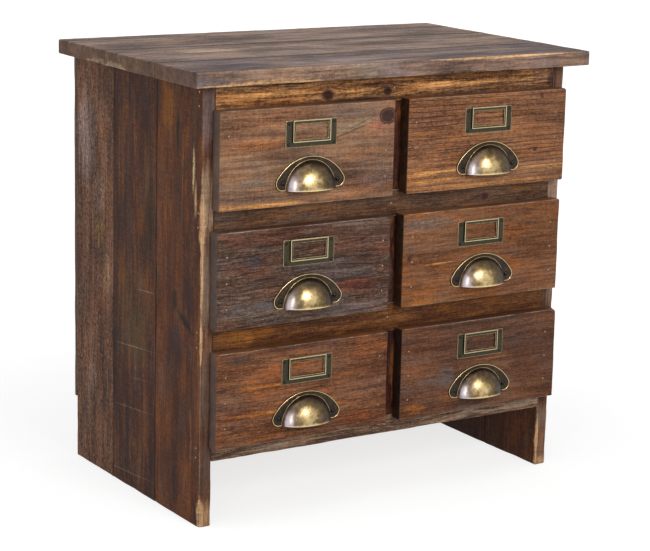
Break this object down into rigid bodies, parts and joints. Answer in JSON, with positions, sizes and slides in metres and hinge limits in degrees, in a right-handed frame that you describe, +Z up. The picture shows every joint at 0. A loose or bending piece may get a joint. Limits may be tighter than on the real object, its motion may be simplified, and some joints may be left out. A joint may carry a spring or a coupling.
{
  "type": "side table",
  "caption": "Small floor-standing side table in reclaimed wood, a cabinet on board legs whose drawers have half-moon cup pulls and card label holders.",
  "frame": {"origin": "on the floor, under the middle of the table's box", "axes": "+Z up, the drawers face and open towards -Y, +X to the right of someone who faces them"},
  "size_m": [0.622, 0.4052, 0.6],
  "materials": {
    "top_boards": "weathered grey-brown planks, waxed",
    "side_boards": "dark, rough-sawn and worn at the edges",
    "rails": "orange-brown to grey-brown, waxed",
    "drawer_fronts": "mixed brown reclaimed boards, waxed, with worn arrises",
    "drawer_boxes": "planed softwood",
    "back_panel": "plain board",
    "runners": "planed softwood",
    "cup_pulls": "antique brass, brushed, dark in the hollows",
    "label_holders": "antique brass, dark",
    "fasteners": "dark steel"
  },
  "bodies": {
    "case": {"top_front_board": "top_boards", "top_middle_board": "top_boards", "top_rear_board": "top_boards", "left_side_front_board": "side_boards", "left_side_middle_board": "side_boards", "left_side_rear_board": "side_boards", "right_side_front_board": "side_boards", "right_side_middle_board": "side_boards", "right_side_rear_board": "side_boards", "back_panel": "back_panel", "top_rail": "rails", "upper_rail": "rails", "lower_rail": "rails", "bottom_rail": "rails", "center_stiles": "rails", "top_cleats": "runners", "drawer_runners": "runners", "case_fasteners": "fasteners"},
    "top_left_drawer": {"top_left_front": "drawer_fronts", "top_left_sides": "drawer_boxes", "top_left_back": "drawer_boxes", "top_left_bottom": "drawer_boxes", "top_left_cup_pull": "cup_pulls", "top_left_label_holder": "label_holders", "top_left_fasteners": "fasteners"},
    "top_right_drawer": {"top_right_front": "drawer_fronts", "top_right_sides": "drawer_boxes", "top_right_back": "drawer_boxes", "top_right_bottom": "drawer_boxes", "top_right_cup_pull": "cup_pulls", "top_right_label_holder": "label_holders", "top_right_fasteners": "fasteners"},
    "middle_left_drawer": {"middle_left_front": "drawer_fronts", "middle_left_sides": "drawer_boxes", "middle_left_back": "drawer_boxes", "middle_left_bottom": "drawer_boxes", "middle_left_cup_pull": "cup_pulls", "middle_left_label_holder": "label_holders", "middle_left_fasteners": "fasteners"},
    "middle_right_drawer": {"middle_right_front": "drawer_fronts", "middle_right_sides": "drawer_boxes", "middle_right_back": "drawer_boxes", "middle_right_bottom": "drawer_boxes", "middle_right_cup_pull": "cup_pulls", "middle_right_label_holder": "label_holders", "middle_right_fasteners": "fasteners"},
    "bottom_left_drawer": {"bottom_left_front": "drawer_fronts", "bottom_left_sides": "drawer_boxes", "bottom_left_back": "drawer_boxes", "bottom_left_bottom": "drawer_boxes", "bottom_left_cup_pull": "cup_pulls", "bottom_left_label_holder": "label_holders", "bottom_left_fasteners": "fasteners"},
    "bottom_right_drawer": {"bottom_right_front": "drawer_fronts", "bottom_right_sides": "drawer_boxes", "bottom_right_back": "drawer_boxes", "bottom_right_bottom": "drawer_boxes", "bottom_right_cup_pull": "cup_pulls", "bottom_right_label_holder": "label_holders", "bottom_right_fasteners": "fasteners"}
  },
  "joints": [
    {"name": "top_left_slide", "type": "slide", "parent": "case", "child": "top_left_drawer", "axis": [0, -1, 0], "range_m": [0, 0.26]},
    {"name": "top_right_slide", "type": "slide", "parent": "case", "child": "top_right_drawer", "axis": [0, -1, 0], "range_m": [0, 0.26]},
    {"name": "middle_left_slide", "type": "slide", "parent": "case", "child": "middle_left_drawer", "axis": [0, -1, 0], "range_m": [0, 0.26]},
    {"name": "middle_right_slide", "type": "slide", "parent": "case", "child": "middle_right_drawer", "axis": [0, -1, 0], "range_m": [0, 0.26]},
    {"name": "bottom_left_slide", "type": "slide", "parent": "case", "child": "bottom_left_drawer", "axis": [0, -1, 0], "range_m": [0, 0.26]},
    {"name": "bottom_right_slide", "type": "slide", "parent": "case", "child": "bottom_right_drawer", "axis": [0, -1, 0], "range_m": [0, 0.26]}
  ]
}
